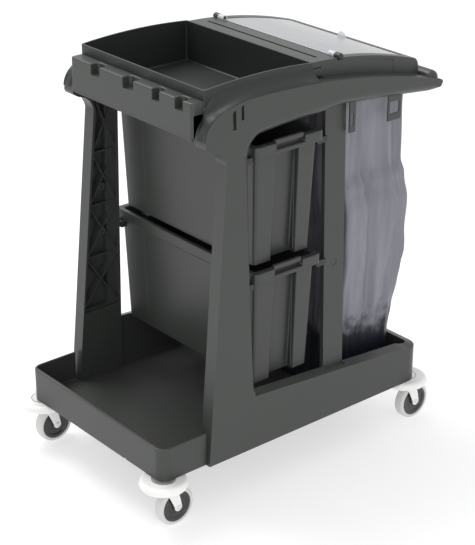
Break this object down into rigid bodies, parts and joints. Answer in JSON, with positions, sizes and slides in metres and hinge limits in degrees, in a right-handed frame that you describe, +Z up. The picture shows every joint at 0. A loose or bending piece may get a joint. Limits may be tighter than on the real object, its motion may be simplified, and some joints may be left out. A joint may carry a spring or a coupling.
{
  "type": "housekeeping cart",
  "caption": "Moulded housekeeping cart with open top tray, lidded waste bag, pull-out side bins, front mop tray, holder notches and swivel castors.",
  "frame": {"origin": "centre of the footprint, wheels and bumpers included, on the floor", "axes": "+Z up, +Y toward the push handle, +X toward the side the bins pull out of"},
  "size_m": [0.627, 0.943, 1.059],
  "materials": {
    "grey_moulding": "fine moulded texture",
    "dark_moulding": "fine moulded texture",
    "clear_sheet": "clear moulded sheet",
    "bag_film": "translucent film",
    "zinc_plate": "zinc plated pressing",
    "white_bumper": "smooth soft moulding",
    "pale_tyre": "non-marking tread",
    "black_hub": "moulded wheel centre"
  },
  "bodies": {
    "cart": {"base_deck": "grey_moulding", "side_frame_right": "grey_moulding", "side_frame_left": "grey_moulding", "top_tray": "dark_moulding", "front_apron": "grey_moulding", "bag_housing": "grey_moulding", "hinge_pins": "dark_moulding", "push_handle": "grey_moulding", "bag_hooks": "grey_moulding", "waste_bag": "bag_film", "runner_lugs": "dark_moulding", "post_plugs": "grey_moulding", "castor_plates": "zinc_plate", "bumper_rings": "white_bumper"},
    "lid": {"clear_lid": "clear_sheet", "lid_grip": "clear_sheet"},
    "upper_bin": {"bin_upper": "grey_moulding"},
    "lower_bin": {"bin_lower": "grey_moulding"},
    "castor_1": {"fork_1": "zinc_plate", "axle_1": "zinc_plate"},
    "wheel_1": {"tyre_1": "pale_tyre", "hub_1": "black_hub"},
    "castor_2": {"fork_2": "zinc_plate", "axle_2": "zinc_plate"},
    "wheel_2": {"tyre_2": "pale_tyre", "hub_2": "black_hub"},
    "castor_3": {"fork_3": "zinc_plate", "axle_3": "zinc_plate"},
    "wheel_3": {"tyre_3": "pale_tyre", "hub_3": "black_hub"},
    "castor_4": {"fork_4": "zinc_plate", "axle_4": "zinc_plate"},
    "wheel_4": {"tyre_4": "pale_tyre", "hub_4": "black_hub"}
  },
  "joints": [
    {"name": "lid_hinge", "type": "hinge", "parent": "cart", "child": "lid", "pos_m": [0, 0.146, 1.048], "axis": [1, 0, 0], "range_deg": [0, 105]},
    {"name": "upper_bin_slide", "type": "slide", "parent": "cart", "child": "upper_bin", "axis": [1, 0, 0], "range_m": [0, 0.2]},
    {"name": "lower_bin_slide", "type": "slide", "parent": "cart", "child": "lower_bin", "axis": [1, 0, 0], "range_m": [0, 0.2]},
    {"name": "swivel_1", "type": "hinge", "parent": "cart", "child": "castor_1", "pos_m": [-0.2545, -0.4125, 0.12], "axis": [0, 0, 1], "continuous": true},
    {"name": "wheel_spin_1", "type": "hinge", "parent": "castor_1", "child": "wheel_1", "pos_m": [-0.2545, -0.3835, 0.05], "axis": [1, 0, 0], "continuous": true},
    {"name": "swivel_2", "type": "hinge", "parent": "cart", "child": "castor_2", "pos_m": [0.2545, -0.4125, 0.12], "axis": [0, 0, 1], "continuous": true},
    {"name": "wheel_spin_2", "type": "hinge", "parent": "castor_2", "child": "wheel_2", "pos_m": [0.2545, -0.3835, 0.05], "axis": [1, 0, 0], "continuous": true},
    {"name": "swivel_3", "type": "hinge", "parent": "cart", "child": "castor_3", "pos_m": [-0.2545, 0.3925, 0.12], "axis": [0, 0, 1], "continuous": true},
    {"name": "wheel_spin_3", "type": "hinge", "parent": "castor_3", "child": "wheel_3", "pos_m": [-0.2545, 0.4215, 0.05], "axis": [1, 0, 0], "continuous": true},
    {"name": "swivel_4", "type": "hinge", "parent": "cart", "child": "castor_4", "pos_m": [0.2545, 0.3925, 0.12], "axis": [0, 0, 1], "continuous": true},
    {"name": "wheel_spin_4", "type": "hinge", "parent": "castor_4", "child": "wheel_4", "pos_m": [0.2545, 0.4215, 0.05], "axis": [1, 0, 0], "continuous": true}
  ]
}
